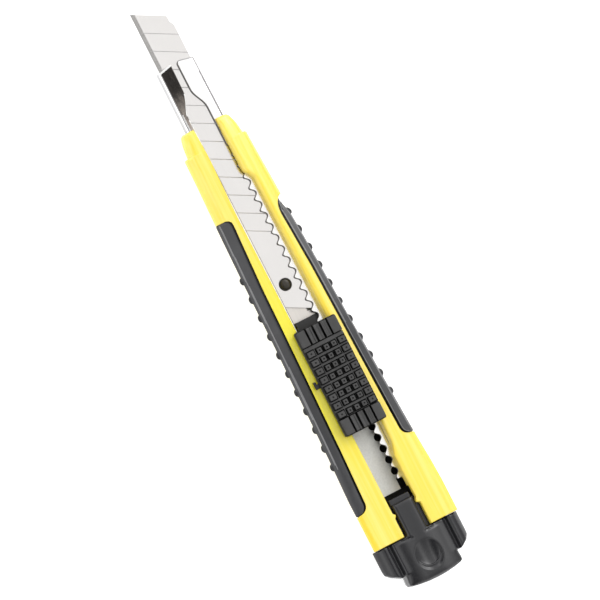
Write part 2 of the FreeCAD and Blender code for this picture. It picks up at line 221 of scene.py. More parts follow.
def polygon_distance(x, y, corners):
    """Signed distance to a polygon in the plane, negative inside."""
    corners = np.array(corners, float)
    best = None
    inside = None
    for (ax, ay), (bx, by) in zip(corners, np.roll(corners, -1, axis=0)):
        ex, ey = bx - ax, by - ay
        wx, wy = x - ax, y - ay
        t = np.clip((wx * ex + wy * ey) / (ex * ex + ey * ey), 0.0, 1.0)
        d = (wx - ex * t) ** 2 + (wy - ey * t) ** 2
        above, below = y >= ay, y < by
        left = ex * wy > ey * wx
        crosses = (above & below & left) | (~above & ~below & ~left)
        best = d if best is None else np.minimum(best, d)
        inside = crosses if inside is None else inside ^ crosses
    return np.where(inside, -1.0, 1.0) * np.sqrt(best)


def surface_net(field, low, high, cell):
    """Points and quads on the zero level of a distance field, fitted to it by a few Newton steps."""
    low = np.array(low)
    counts = np.ceil((np.array(high) - low) / cell).astype(int) + 1
    axes = [start + cell * np.arange(count) for start, count in zip(low, counts)]
    values = np.broadcast_to(field(*np.meshgrid(*axes, indexing="ij", sparse=True)), counts)
    inside = values < 0.0
    cells = counts - 1
    hits = np.zeros(np.prod(cells))
    total = np.zeros((len(hits), 3))
    strips = []
    for axis in range(3):
        cross = np.argwhere(np.diff(inside, axis=axis))
        others = [i for i in range(3) if i != axis]
        cross = cross[np.all((cross[:, others] > 0) & (cross[:, others] < cells[others]), axis=1)]
        next_point = cross.copy()
        next_point[:, axis] += 1
        v0, v1 = values[tuple(cross.T)], values[tuple(next_point.T)]
        where = cross.astype(float)
        where[:, axis] += v0 / (v0 - v1)
        around = []
        for da, db in ((0, 0), (1, 0), (1, 1), (0, 1)):
            cell_index = cross.copy()
            cell_index[:, others[0]] -= da
            cell_index[:, others[1]] -= db
            flat = np.ravel_multi_index(tuple(cell_index.T), tuple(cells))
            np.add.at(total, flat, where)
            np.add.at(hits, flat, 1.0)
            around.append(flat)
        quads = np.stack(around, axis=1)
        flip = (v0 < 0.0) == (axis == 1)
        quads[flip] = quads[flip][:, ::-1]
        strips.append(quads)
    used = np.flatnonzero(hits)
    points = total[used] / hits[used][:, None] * cell + low
    number = np.full(len(hits), -1)
    number[used] = np.arange(len(used))
    reach = 0.02
    for _ in range(3):
        slope = np.stack([field(*(points + a).T) - field(*(points - a).T) for a in reach * np.eye(3)], axis=1)
        slope /= 2 * reach
        size = np.maximum((slope ** 2).sum(axis=1), 0.05)
        step = slope * (field(*points.T) / size)[:, None]
        points = points - np.clip(step, -cell * 0.3, cell * 0.3)
    return points, number[np.concatenate(strips)]


# ---- materials

def node(tree, kind, inputs, **settings):
    """A node with its settings made, then its inputs, each linked to a socket or given a value."""
    made = tree.nodes.new(kind)
    for key, value in settings.items():
        setattr(made, key, value)
    for key, value in inputs.items():
        if isinstance(value, bpy.types.NodeSocket):
            tree.links.new(value, made.inputs[key])
        else:
            made.inputs[key].default_value = value
    return made


def colour_at(tree, factor, stops):
    """A colour ramp over (position, colour) stops."""
    made = node(tree, "ShaderNodeValToRGB", {"Fac": factor})
    ramp_stops = made.color_ramp.elements
    while len(ramp_stops) < len(stops):
        ramp_stops.new(0.5)
    for stop, (position, colour) in zip(ramp_stops, stops):
        stop.position = position
        stop.color = (*colour, 1.0)
    return made.outputs["Color"]


def noise(tree, where, scale, detail=4.0, stretch=(1.0, 1.0, 1.0), roughness=0.55):
    """Noise with features 1/scale mm wide before it is stretched."""
    shaped = node(tree, "ShaderNodeMapping", {"Vector": where, "Scale": tuple(s / MM for s in stretch)})
    inputs = {"Vector": shaped.outputs["Vector"], "Scale": scale, "Detail": detail, "Roughness": roughness}
    return node(tree, "ShaderNodeTexNoise", inputs).outputs["Fac"]


def mix(tree, factor, a, b):
    """Colour a, turning into b as factor goes to 1. Colours are tuples or sockets."""
    a, b = ((*colour, 1.0) if isinstance(colour, tuple) else colour for colour in (a, b))
    return node(tree, "ShaderNodeMix", {0: factor, 6: a, 7: b}, data_type="RGBA").outputs[2]


def fit_range(tree, value, low, high, to_low=0.0, to_high=1.0):
    inputs = {"Value": value, "From Min": low, "From Max": high, "To Min": to_low, "To Max": to_high}
    return node(tree, "ShaderNodeMapRange", inputs).outputs["Result"]


def math_node(tree, operation, a, b):
    return node(tree, "ShaderNodeMath", {0: a, 1: b}, operation=operation).outputs[0]


def coordinate(tree, where, axis):
    """The X, Y or Z of a position or a direction."""
    return node(tree, "ShaderNodeSeparateXYZ", {0: where}).outputs[axis]


def surface(title, build, metallic=0.0, **settings):
    """A material whose build(tree, where) returns colour, roughness and bump height sockets."""
    made = bpy.data.materials.new(title)
    made.use_nodes = True
    tree = made.node_tree
    shader = tree.nodes["Principled BSDF"]
    shader.inputs["Metallic"].default_value = metallic
    for key, value in settings.items():
        shader.inputs[key.replace("_", " ")].default_value = value
    where = tree.nodes.new("ShaderNodeTexCoord").outputs["Object"]
    colour, roughness, height, depth = build(tree, where)
    bump = node(tree, "ShaderNodeBump", {"Height": height, "Strength": 1.0, "Distance": depth * MM})
    found = {"Base Color": colour, "Roughness": roughness, "Normal": bump.outputs["Normal"]}
    for key, socket in found.items():
        tree.links.new(socket, shader.inputs[key])
    return made


def plastic(base, deep, rough, grain_scale, grain_depth, streak=0.3, pale=None):
    """Moulded plastic: a slow tint change, fine grain and faint rub marks along the handle."""
    def build(tree, where):
        slow = noise(tree, where, 0.09, 2.0, (0.35, 2.4, 2.4))
        grain = noise(tree, where, grain_scale, 3.0)
        rubbed = noise(tree, where, 1.0, 5.0, (0.12, 2.2, 2.2), 0.65)
        tint = mix(tree, fit_range(tree, slow, 0.35, 0.65), base, deep)
        if pale:
            drawn = noise(tree, where, 1.0, 3.0, (0.02, 0.9, 0.9), 0.5)
            tint = mix(tree, fit_range(tree, drawn, 0.42, 0.68, 0.0, 0.7), tint, pale)
        rough_grain = fit_range(tree, grain, 0.3, 0.7, rough - 0.04, rough + 0.05)
        rough_rub = fit_range(tree, rubbed, 0.45, 0.75, 0.0, streak * rough)
        height = math_node(tree, "ADD", math_node(tree, "MULTIPLY", grain, 0.8),
                           math_node(tree, "MULTIPLY", rubbed, 0.35))
        return tint, math_node(tree, "ADD", rough_grain, rough_rub), height, grain_depth
    return build


def painted_rail_shade(base_build, lemon):
    """A moulding with painted shade: a deeper lemon on the rail along the wide side of the slot, beside the
    pad.
    """
    def build(tree, where):
        tint, rough, height, depth = base_build(tree, where)
        along = coordinate(tree, where, "X")
        start, end = RAIL_SHADE_SIDE
        share = fit_range(tree, coordinate(tree, where, "Y"), start * MM, end * MM, 0.0, RAIL_SHADE_SHARE)
        for start, end in RAIL_SHADE_ENDS:
            reach = fit_range(tree, along, (REAR_X + start) * MM, (REAR_X + end) * MM)
            share = math_node(tree, "MULTIPLY", share, reach)
        return mix(tree, share, tint, lemon), rough, height, depth
    return build


def brushed(base, dark, rough, along=0.05, across=5.0, depth=0.0006):
    """Rolled and ground steel with fine lines along X and a few faint stains."""
    def build(tree, where):
        lines = noise(tree, where, 1.0, 4.0, (along, across, across), 0.6)
        stains = noise(tree, where, 0.28, 5.0, roughness=0.6)
        tint = mix(tree, fit_range(tree, lines, 0.3, 0.7), base, dark)
        tint = mix(tree, fit_range(tree, stains, 0.62, 0.82, 0.0, 0.15), tint, dark)
        roughness = math_node(tree, "ADD", fit_range(tree, lines, 0.3, 0.7, rough - 0.03, rough + 0.03),
                              fit_range(tree, stains, 0.5, 0.8, 0.0, 0.05))
        return tint, roughness, lines, depth
    return build


def painted_lip_reflection(base, dark, rough):
    """Bright steel that turns, mottled, into a painted blackish reflection towards the channel's mouth."""
    def build(tree, where):
        start, end = ((REAR_X + station) * MM for station in DARK_REFLECTION_STATIONS)
        along = fit_range(tree, coordinate(tree, where, "X"), start, end)
        patches = noise(tree, where, 0.8, 5.0, (0.7, 1.2, 1.0), 0.65)
        share = math_node(tree, "ADD", along, fit_range(tree, patches, 0.35, 0.65, -0.75, 0.75))
        roughness = fit_range(tree, patches, 0.3, 0.7, rough, rough + 0.1)
        return mix(tree, share, base, dark), roughness, patches, 0.001
    return build


def steel(title, *finish):
    return surface(title, brushed(*finish), metallic=1.0)


def rubber(base, light, rough, grain_depth):
    """Matt soft plastic: open grain, dust caught in it and paler worn patches."""
    def build(tree, where):
        grain = noise(tree, where, 2.6, 4.0)
        wear_and_highlight = noise(tree, where, 0.22, 4.0)
        dust = noise(tree, where, 1.4, 6.0, roughness=0.7)
        tint = mix(tree, fit_range(tree, wear_and_highlight, 0.4, 0.7, 0.0, 0.5), base, light)
        tint = mix(tree, fit_range(tree, dust, 0.6, 0.8, 0.0, 0.35), tint, light)
        return tint, fit_range(tree, grain, 0.3, 0.7, rough - 0.06, rough + 0.06), grain, grain_depth
    return build


# The painted shade on the rail beside the pad: y where its tint starts and is full, stations where it comes
# in and goes, and its share.
RAIL_SHADE_SIDE, RAIL_SHADE_ENDS, RAIL_SHADE_SHARE = (1.0, 3.0), ((30.0, 46.0), (98.0, 72.0)), 0.85
# Stations over which the painted dark reflection on the left lip comes in.
DARK_REFLECTION_STATIONS = (130.0, 137.0)
MOULDED = plastic((0.92, 0.715, 0.08), (0.90, 0.675, 0.05), 0.20, 0.9, 0.0012, pale=(0.965, 0.80, 0.20))
# The yellow moulding, with painted shade on the rail beside the pad.
YELLOW = surface("moulded_yellow", painted_rail_shade(MOULDED, (0.82, 0.75, 0.013)),
                 Coat_Weight=0.25, Coat_Roughness=0.12)
# Near black: painted shade inside the body, in the trough under the channel and in the grips' pockets.
HOLLOW_SHADE = surface("moulded_yellow_inside_shade",
                 plastic((0.006, 0.005, 0.002), (0.004, 0.0035, 0.0015), 0.7, 2.4, 0.004))
# Darker ochre: painted shade on the slot's right wall.
SLOT_WALL_SHADE = surface("moulded_yellow_wall_shade", plastic((0.52, 0.40, 0.03), (0.42, 0.31, 0.02), 0.5, 0.9, 0.0012))
GRIP = surface("soft_grip", rubber((0.034, 0.034, 0.037), (0.052, 0.052, 0.056), 0.42, 0.008))
# Near black: painted shade on the ribs along the grips' flanks.
GRIP_RIB_SHADE = surface("soft_grip_ribs_shade", rubber((0.009, 0.009, 0.010), (0.018, 0.018, 0.019), 0.5, 0.008))
# Pale grey: a painted highlight along the grips' ridge and beside the right grip's seam.
GRIP_HIGHLIGHT = surface("soft_grip_highlight", rubber((0.16, 0.16, 0.165), (0.22, 0.22, 0.225), 0.36, 0.006))
PAD = surface("pad_rubber", rubber((0.034, 0.0335, 0.033), (0.054, 0.053, 0.053), 0.50, 0.008))
# Near black: painted shade in the pad's moats and dimples, on its steep walls and at the grips' seams.
PAD_SHADE = surface("pad_painted_shade", rubber((0.002, 0.002, 0.002), (0.005, 0.005, 0.005), 0.8, 0.006))
CAP = surface("cap_moulding", plastic((0.019, 0.019, 0.021), (0.015, 0.015, 0.017), 0.19, 2.0, 0.002))
BLOCK = surface("block_moulding", plastic((0.006, 0.0055, 0.005), (0.004, 0.004, 0.0035), 0.42, 2.4, 0.006))
STRIP = steel("stainless_strip", (0.95, 0.94, 0.93), (0.91, 0.90, 0.885), 0.20)
# Grey steel: painted shade on the channel's outer side walls.
STRIP_SIDE_SHADE = steel("strip_flank_shade", (0.60, 0.60, 0.61), (0.54, 0.54, 0.55), 0.40)
# The channel's floor: a rougher steel, and its darker grey is painted shade.
STRIP_FLOOR_SHADE = steel("strip_floor_shade", (0.60, 0.60, 0.575), (0.53, 0.53, 0.51), 0.50, 2.0, 2.0)
LIP_REFLECTION = surface("lip_dark_reflection", painted_lip_reflection((0.52, 0.46, 0.41), (0.20, 0.18, 0.17), 0.10), metallic=1.0)
# Pale grey: a painted highlight on the left lip's inner edge and its front at the mouth.
EDGE_HIGHLIGHT = surface("lip_edge_highlight", brushed((0.86, 0.86, 0.85), (0.80, 0.80, 0.79), 0.5))
# Dark grey: painted shade on the channel's right bend and the right side of its mouth.
BEND_SHADE = surface("strip_bend_shade", brushed((0.30, 0.29, 0.30), (0.25, 0.24, 0.25), 0.5))
# Dark steel: painted shade on the right lip's notched edge.
CUT_EDGE_SHADE = steel("punched_edge_shade", (0.20, 0.19, 0.185), (0.14, 0.135, 0.13), 0.5)
BLADE = steel("blade_steel", (0.80, 0.78, 0.762), (0.775, 0.755, 0.738), 0.16, 0.04, 1.4, 0.0001)
BEVEL = steel("ground_bevel", (0.60, 0.585, 0.57), (0.50, 0.49, 0.475), 0.24, 5.0, 0.4)
# Grey: painted shade in the blade's score grooves.
SCORE_SHADE = surface("score_line_shade", brushed((0.60, 0.59, 0.58), (0.54, 0.53, 0.52), 0.5))
PLATE = steel("carrier_steel", (0.64, 0.61, 0.575), (0.57, 0.54, 0.505), 0.34)
PIN = surface("blackened_steel", brushed((0.036, 0.030, 0.020), (0.020, 0.017, 0.012), 0.28), metallic=0.3)
SPRING = steel("spring_steel", (0.45, 0.44, 0.42), (0.33, 0.32, 0.30), 0.30)


# ---- handle body

BODY_REAR, NOSE_STEP, BODY_FRONT = 12.6, 120.4, 126.3
half_width = smooth_curve([(21, 12.1), (27, 11.95), (33, 11.62), (39, 11.36), (49, 11.02), (59, 10.71),
                           (69, 10.36), (79, 10.1), (89, 9.8), (99, 9.42), (107, 9.18), (113, 8.95),
                           (120.4, 8.75)])
crown = smooth_curve([(39, 8.8), (59, 8.75), (69, 8.7), (79, 8.6), (99, 8.4), (107, 8.25), (113, 8.1),
                      (120.4, 7.75)])
widest_line = smooth_curve([(21, 7.5), (27, 6.9), (33, 6.55), (39, 6.4), (49, 6.1), (59, 5.75), (69, 5.35),
                            (79, 4.85), (89, 4.4), (99, 3.8), (107, 3.8), (113, 3.7), (120.4, 3.45)])
nose_half = smooth_curve([(119.4, 7.95), (123.5, 7.5), (126.3, 6.6)], 0.4)
nose_crown = smooth_curve([(119.4, 7.75), (123.5, 7.35), (126.3, 6.9)], 0.4)
nose_widest = smooth_curve([(119.4, 3.8), (123.5, 3.4), (126.3, 2.8)], 0.4)
slot_left_run = smooth_curve([(0, 3.6), (42, 3.65), (46, 4.3), (103, 4.25), (118, 3.7)])
slot_left_nib = smooth_curve([(17.6, 0), (18.5, -0.66), (18.9, 0)], 0.14)
slot_right_run = smooth_curve([(18.6, 4.1), (20.2, 3.7), (31.5, 3.7), (35, 4.7), (83, 4.45), (109, 4.3),
                               (111.6, 2.65)], 0.45)
slot_right_nib = smooth_curve([(18.6, 0), (19.0, -0.95), (20.4, 0)], 0.14)
slot_round = {1: smooth_curve([(0, 0.35)]), -1: smooth_curve([(38, 0.5), (46, 0.95)])}
grip_line = smooth_curve([(20, 9.2), (38, 8.5), (63, 7.85), (83, 7.4), (101, 6.5)])

LOWER_POINTS, UNDER_POINTS, LIP_POINTS = 8, 18, 20
POCKET_COLUMNS = (LOWER_POINTS - 2, LOWER_POINTS - 2 + UNDER_POINTS)
BACK_CORNER, NOSE_CORNER, FLANK_TAPER, SHOULDER_SHARE, CROWN_DROP = 2.4, 1.6, 0.33, 0.76, 0.55
NOSE_LOW, FLANK_POINTS = 0.8, 18
GRIP_LOW, POCKET_DEPTH = 0.9, 1.15
GRIP_REAR = {1: 22.2, -1: 35.0}
GRIP_FRONT = 102.4
GRIP_HEAD = {1: (2.1, 3.0), -1: (4.8, 2.0)}
SEAM_GAP = {1: 0.38, -1: 0.5}
# Inside: the wall's y and the floor's z of the room for the cap's plug, and of the bore for the channel.
CAP_ROOM, BORE = (8.7, 1.7), (5.25, 2.55)
ROOM_CEILING, BORE_CEILING, BORE_END = 7.0, 5.65, 23.56
TROUGH_LOW, TROUGH_OUTER, TROUGH_INNER, FLOOR_MIDDLE = 1.1, 4.6, 1.5, 1.0


def slot_edge(station, side):
    if side > 0:
        return slot_left_run(station) + slot_left_nib(station)
    return slot_right_run(station) + slot_right_nib(station)


def grip_edge(station, side, half):
    """The y of the seam between yellow and grip, running out to the side at both ends of the grip."""
    line = np.minimum(grip_line(station), half - 0.3)
    tail = corner_round((GRIP_REAR[side] + 2.4 - station) / 2.4, 2.3)
    length, power = GRIP_HEAD[side]
    head = corner_round((station - (GRIP_FRONT - length)) / length, power)
    return line + (half - 0.04 - line) * np.maximum(tail, head)


def outer_path(half, top, widest, low, corner=BACK_CORNER):
    """Half a cross-section from the middle of the back, round the side, to the middle of the crown."""
    foot_z = low + corner
    foot_y = half - FLANK_TAPER * (widest - foot_z)
    rim_y, rim_z = SHOULDER_SHARE * half, top - CROWN_DROP
    turn = np.linspace(0.0, math.pi / 2, 15)
    back = [(y, low) for y in np.linspace(0.0, foot_y - corner, 3)[:-1]]
    foot = np.stack([foot_y - corner + corner * np.sin(turn), foot_z - corner * np.cos(turn)], 1)
    flank = [((foot_y + half) / 2, (foot_z + widest) / 2)]
    shoulder = np.stack([rim_y + (half - rim_y) * np.cos(turn), widest + (rim_z - widest) * np.sin(turn)], 1)
    ys = np.linspace(rim_y, 0.0, 13)[1:]
    over = np.stack([ys, top - CROWN_DROP * (ys / rim_y) ** 2], 1)
    return np.concatenate([back, foot, flank, shoulder, over])


def above_flank(path):
    """The y values of an outer path with the part below its widest point taken out of the search."""
    return np.where(np.arange(len(path)) < FLANK_POINTS, 99.0, path[:, 0])


def body_side(station, half, top, widest, low, corner, side):
    """Points of one side's cross-section: back, side, crown, slot wall and the channel's pocket."""
    path = outer_path(half, top, widest, low, corner)
    slot_y = min(slot_edge(station, side), half - 2.5)
    in_cap_room = station < BORE_END
    ceiling = ROOM_CEILING if in_cap_room else BORE_CEILING + 0.3 * ramp(station, 121.5, 123.5)
    room = top - CROWN_DROP * (slot_y / (SHOULDER_SHARE * half)) ** 2 - ceiling - 0.1
    edge_round = min(float(slot_round[side](station)), max(room, 0.05))
    seam_y = max(grip_edge(station, side, half) - SEAM_GAP[side], slot_y + edge_round + 0.2)
    low_share = share_where(path, path[:, 1], low + GRIP_LOW)
    upper = above_flank(path)
    seam_share = max(share_where(path, upper, seam_y), low_share + 0.05)
    slot_share = share_where(path, upper, slot_y + edge_round)
    has_grip = GRIP_REAR[side] - 0.05 < station < GRIP_FRONT + 0.02
    lower = resample(path, np.linspace(0.0, low_share, LOWER_POINTS))
    under = resample(path, np.linspace(low_share, seam_share, UNDER_POINTS))
    if has_grip:
        under = inward(under, POCKET_DEPTH)
    lip = resample(path, seam_share + (slot_share - seam_share) * np.linspace(0.0, 1.0, LIP_POINTS))
    if has_grip:
        lip[0] = inward(lip[:3], 0.10)[0]
    turn = np.linspace(0.0, math.pi / 2, 5)[1:]
    z_slot = lip[-1, 1]
    bend = np.stack([slot_y + edge_round * (1 - np.sin(turn)), z_slot - edge_round * (1 - np.cos(turn))], 1)
    wall_y, floor = CAP_ROOM if in_cap_room else BORE
    wall_y = max(min(wall_y, half - 1.0), slot_y)
    trough = TROUGH_LOW if BORE_END < station < NOSE_STEP - 0.7 else floor
    inner = [(slot_y, (z_slot - edge_round + ceiling) / 2), (slot_y, ceiling), (wall_y, ceiling),
             (wall_y, floor), (TROUGH_OUTER, floor), (TROUGH_OUTER, trough), (TROUGH_INNER, trough),
             (TROUGH_INNER, floor), (FLOOR_MIDDLE, floor)]
    return np.concatenate([lower[1:], under, lip, bend, inner])


def body_ring(station, half, top, widest, low, corner):
    left, right = (body_side(station, half, top, widest, low, corner, side) * (side, 1.0) for side in (1, -1))
    ring = np.concatenate([left, right[::-1]])
    return np.column_stack([np.full(len(ring), station), ring])


def handle_body():
    stations = steps((BODY_REAR, BODY_REAR + 0.4, 0.1), (13.0, NOSE_STEP, 0.6), (17.2, 21.0, 0.1),
                     (21.8, 25.5, 0.12), (34.6, 38.2, 0.12), (99.6, 103.2, 0.12), (30.0, 36.0, 0.3),
                     (107.5, 112.5, 0.25), (119.7, NOSE_STEP, 0.1))
    fixed = np.array([BORE_END - 0.01, BORE_END + 0.01, GRIP_FRONT, GRIP_FRONT + 0.03]
                     + [GRIP_REAR[side] - before for side in (1, -1) for before in (0.04, 0.0)]).round(3)
    stations = np.unique(np.concatenate([[s for s in stations if np.min(np.abs(fixed - s)) > 0.03], fixed]))
    rings = []
    for st in stations:
        rear_inset = end_round(st - BODY_REAR, 0.25)
        inset = rear_inset + end_round(NOSE_STEP - st, 0.6)
        rings.append(body_ring(st, half_width(st) - inset, crown(st) - rear_inset, widest_line(st), inset,
                               BACK_CORNER))
    for st in steps((NOSE_STEP, BODY_FRONT - 1.2, 0.5), (BODY_FRONT - 1.2, BODY_FRONT, 0.1)):
        inset = end_round(BODY_FRONT - st, 0.9)
        rings.append(body_ring(st, nose_half(st) - inset, nose_crown(st) - 0.5 * inset, nose_widest(st),
                               NOSE_LOW + inset, NOSE_CORNER))
    rings = np.array(rings)
    size = rings.shape[1]

    def paint(centres, normals):
        station, y, z = centres.T
        # Painted shade: the body's inside and the grips' pockets take the near-black inside material.
        inside = (np.abs(y) < CAP_ROOM[0] + 0.5) & (z > TROUGH_LOW - 0.2) & (z < BORE_CEILING - 0.05)
        inside &= (np.abs(y) < BORE[0] + 0.05) | (station < BORE_END + 0.04)
        column = np.arange(len(centres)) % size
        column = np.minimum(column, size - 2 - column)
        pocket = (column >= POCKET_COLUMNS[0]) & (column <= POCKET_COLUMNS[1])
        pocket &= (station < GRIP_FRONT) & (station > np.where(y > 0, GRIP_REAR[1], GRIP_REAR[-1]))
        # Painted shade: the slot's right wall, facing +Y, takes the darker ochre.
        wall = (y < 0.0) & (normals[:, 1] > 0.8) & (z > BORE_CEILING - 0.05) & (y > -BORE[0] + 0.05)
        return np.select([inside | pocket, wall], [1, 2], 0)

    piece("handle_shell", *loft(rings), "handle", "yellow_shell", [YELLOW, HOLLOW_SHADE, SLOT_WALL_SHADE],
          ["handle_body"], paint=paint)


# ---- grips

BUMP_PITCH, BUMP_COUNT, BUMP_HALF, BUMP_RISE = 5.12, 11, 0.98, 0.62
BUMP_FIRST = {1: 36.0, -1: 46.6}
RIGHT_HEAD_SINK = 1.1
GRIP_POINTS, GRIP_UNDER_POINTS, GRIP_EDGE_STEP, GRIP_ROUND = 46, 14, 0.17, 0.42
RIDGE_IN, RIDGE_UP, RIDGE_REACH = 0.55, 1.35, 0.26


def bump_height(station, side):
    centres = BUMP_FIRST[side] + BUMP_PITCH * np.arange(BUMP_COUNT)
    return BUMP_RISE * bell(np.min(np.abs(centres - station)), BUMP_HALF)


def grip_ring(station, side):
    half, widest = half_width(station), widest_line(station)
    path = outer_path(half, crown(station), widest, 0.0)
    seam_y = grip_edge(station, side, half)
    low_share = share_where(path, path[:, 1], GRIP_LOW)
    seam_share = share_where(path, above_flank(path), seam_y)
    outer = resample(path, np.linspace(low_share, seam_share, GRIP_POINTS))
    seam_z = outer[-1, 1]
    ridge_y = max(half - RIDGE_IN, seam_y + 0.02)
    face = np.interp(outer[:, 0], [seam_y, ridge_y, half], [seam_z, min(widest + RIDGE_UP, seam_z), widest])
    outer[:, 1] = np.where(outer[:, 1] > widest, np.minimum(outer[:, 1], face), outer[:, 1])
    rise = bump_height(station, side) * ramp(outer[:, 1], 1.7, 2.2)
    outer[:, 0] += rise * (1.0 - ramp(outer[:, 1], widest + 0.1, widest + 0.7))
    ends = end_round(station - GRIP_REAR[side], 0.45) + end_round(GRIP_FRONT - station, 0.4)
    if side < 0:
        ends += RIGHT_HEAD_SINK * ramp(station, 96.5, GRIP_FRONT)
    to_edge = np.minimum(np.arange(GRIP_POINTS), np.arange(GRIP_POINTS)[::-1])
    outer = inward(outer, np.maximum(ends, end_round(to_edge * GRIP_EDGE_STEP, GRIP_ROUND)))
    under = resample(path, np.linspace(seam_share, low_share, GRIP_UNDER_POINTS))
    under = inward(under, 0.05 - POCKET_DEPTH)
    ring = np.concatenate([outer, under]) * (side, 1.0)
    if side < 0:
        ring = ring[::-1]
    return np.column_stack([np.full(len(ring), station), ring])


def grips():
    for side, name in ((1, "left_grip"), (-1, "right_grip")):
        rear = GRIP_REAR[side]
        stations = steps((rear, rear + 2.6, 0.1), (rear + 2.6, 99.9, 0.2), (99.9, GRIP_FRONT, 0.1))
        rings = np.array([grip_ring(st, side) for st in stations])

        def paint(centres, normals):
            station, a, z = centres[:, 0], np.abs(centres[:, 1]), centres[:, 2]
            half, widest = half_width(station), widest_line(station)
            # Painted highlight: a light line along the ridge, and one beside the seam on the right grip.
            wear_and_highlight = np.hypot(a - half + RIDGE_IN, z - widest - RIDGE_UP) < RIDGE_REACH
            past_seam = np.where(z > widest + RIDGE_UP * 0.5, a - grip_edge(station, side, half), 9.0)
            wear_and_highlight |= (side < 0) & (past_seam > 0.22) & (past_seam < 0.5)
            # Painted shade: the ribs standing out on the flank take the darker rubber.
            shaded_ribs = (a > half + 0.06) & (z < widest + 0.7)
            # Painted shade: a black strip along the grip's edge at the seam stands for the gap's shadow.
            return np.select([past_seam < 0.16, wear_and_highlight, shaded_ribs], [3, 1, 2], 0)

        piece(name + "_rubber", *loft(rings), "handle", "black_grip",
              [GRIP, GRIP_HIGHLIGHT, GRIP_RIB_SHADE, PAD_SHADE], [name], sharp=50.0, paint=paint)


# ---- blade channel

SHEET = 0.5
CHANNEL_REAR, CHANNEL_FRONT, FLOOR_FRONT = 23.6, 143.4, 142.5
CHANNEL_LOW, CHANNEL_HIGH = 2.6, 5.6
NOTCH_FIRST, NOTCH_PITCH, NOTCH_COUNT = 28.28, 3.09, 30
NOTCH_MIDDLE, NOTCH_SWING = 2.97, 0.57
FLOOR_HOLE_Y, FLOOR_HOLE_RADIUS = -3.45, 1.05
TAIL_CUT = [(23.0, -2.75), (26.4, -2.75), (26.4, -4.6), (23.0, -4.6)]
EDGE_CUT = {1: 0.2, -1: 0.13}
LIP_START = 26.2
CHANNEL_OUTER_R, CHANNEL_INNER_R, FLOOR_SPLIT = 0.62, 0.15, 1.5
MOUTH_HALF, MOUTH_SLANT, LEFT_MOUTH_ROWS, RIGHT_MOUTH_ROWS = 5.08, 3.7, 7, 4
LIP_LEAN = (123.0, 127.0, 131.0, 135.0, 138.0), (9.4, 9.9, 10.8, 11.9, 14.0)
channel_half = smooth_curve([(126.3, 5.2), (FLOOR_FRONT, MOUTH_HALF)])
left_lip = smooth_curve([(120, 3.2), (130.4, 3.35), (133.4, 2.05), (135.2, 1.5), (143.4, 1.35)], 0.5)
right_lip = smooth_curve([(130.2, 2.4), (131.2, 2.2), (134.2, 0.75), (135.2, 0.5), (170, 0.45)], 0.45)


def lip_edge(station, side):
    """The y of a lip's inner edge, without its sign: plain on the left, notched on the right."""
    if side > 0:
        return left_lip(station)
    edge = right_lip(station)
    if abs(station - NOTCH_FIRST - (NOTCH_COUNT - 1) * NOTCH_PITCH / 2) < NOTCH_COUNT * NOTCH_PITCH / 2:
        turn = 2.0 * math.pi * (station - NOTCH_FIRST) / NOTCH_PITCH
        edge = NOTCH_MIDDLE + NOTCH_SWING * (math.cos(turn) - 0.12 * (math.cos(2.0 * turn) - 1.0))
    edge += end_round(CHANNEL_FRONT - station, 1.0)
    return edge if station > LIP_START else channel_half(station) - 0.85


def folded(start, half, low, high, radius):
    """Half the folded strip's outline: along the lip, round both bends and in towards the floor's middle."""
    turn = np.linspace(0.0, math.pi / 2, 5)
    sin, cos = radius * np.sin(turn), radius * np.cos(turn)
    lip = [(y, high) for y in np.linspace(start, max(half - radius, start + 0.01), 4)]
    top, bottom = zip(half - radius + sin, high - radius + cos), zip(half - radius + cos, low + radius - sin)
    return lip + [*top][1:] + [*bottom] + [(FLOOR_SPLIT, low)]


def channel_side(station, side):
    """Outer and inner outline of one half of the folded strip, from the lip's edge to the floor's middle."""
    half, edge, cut = channel_half(station), lip_edge(station, side), EDGE_CUT[side]
    outer = folded(edge + cut, half, CHANNEL_LOW, CHANNEL_HIGH, CHANNEL_OUTER_R)
    inner = folded(edge, half - SHEET, CHANNEL_LOW + SHEET, CHANNEL_HIGH - SHEET, CHANNEL_INNER_R)
    return np.array(outer), np.array([(edge, CHANNEL_HIGH - cut * 0.8)] + inner)


def channel_ring(station):
    """One closed cross-section. Past the floor's end the lips run on to a slanted front."""
    (left_out, left_in), (right_out, right_in) = (
        [outline * (side, 1.0) for outline in channel_side(station, side)] for side in (1, -1))
    ring = np.concatenate([left_in[::-1], left_out, right_out[::-1], right_in])
    y, z = ring.T
    lean = math.tan(math.radians(ramp(station, 121.0, 123.0) * np.interp(station, *LIP_LEAN)))
    rise = lean * over(channel_half(station) - 0.6, y)
    z = z + np.where((z > CHANNEL_HIGH - SHEET - 0.3) & (y > 0.0), rise, 0.0)
    slant = np.clip((MOUTH_HALF - np.abs(y)) / MOUTH_SLANT, 0.0, 1.0)
    reach = np.where(z > CHANNEL_HIGH - SHEET - 0.05, slant, 0.0)
    stretch = ramp(station, 132.0, CHANNEL_FRONT)
    x = station - (CHANNEL_FRONT - FLOOR_FRONT) * (1.0 - reach) * stretch
    return np.column_stack([x, y, z])


